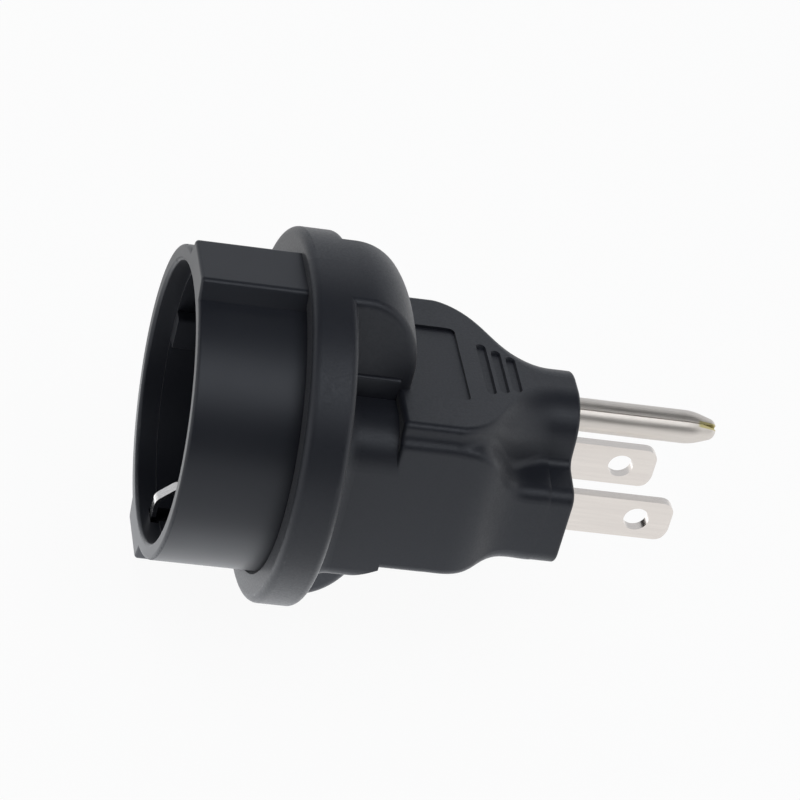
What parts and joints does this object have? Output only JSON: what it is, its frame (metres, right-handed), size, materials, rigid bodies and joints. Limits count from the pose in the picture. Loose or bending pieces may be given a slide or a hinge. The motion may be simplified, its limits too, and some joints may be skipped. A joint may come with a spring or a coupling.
{
  "type": "travel adapter",
  "caption": "Black moulded travel adapter with an earthed round recessed socket at one end and a plug with flat blades and a round earth pin at the other.",
  "frame": {"origin": "middle of the plug face, on the axis of the round socket", "axes": "+X out of the plug face along the pins, +Z towards the earth pin, -X out of the socket's mouth"},
  "size_m": [0.0786, 0.0528, 0.0528],
  "materials": {
    "moulding": "satin, finely grained black PVC",
    "insert": "smooth semi-gloss black plastic",
    "cover": "plain dark plastic",
    "bridge": "plain dark plastic",
    "pins": "nickel-plated, satin",
    "clips": "nickel-plated spring strip",
    "contacts": "plain brass",
    "copper": "bare copper",
    "line_sleeve": "brown insulation",
    "neutral_sleeve": "blue insulation",
    "earth_sleeve": "green insulation"
  },
  "bodies": {
    "root": {"overmould_body": "moulding", "socket_cup": "insert", "contact_cover": "cover", "pin_bridge": "bridge", "line_blade": "pins", "neutral_blade": "pins", "earth_pin": "pins", "earth_bracket": "clips", "line_contact": "contacts", "neutral_contact": "contacts", "line_conductor": "copper", "neutral_conductor": "copper", "earth_conductor": "copper", "line_insulation": "line_sleeve", "neutral_insulation": "neutral_sleeve", "earth_insulation": "earth_sleeve"}
  },
  "joints": []
}
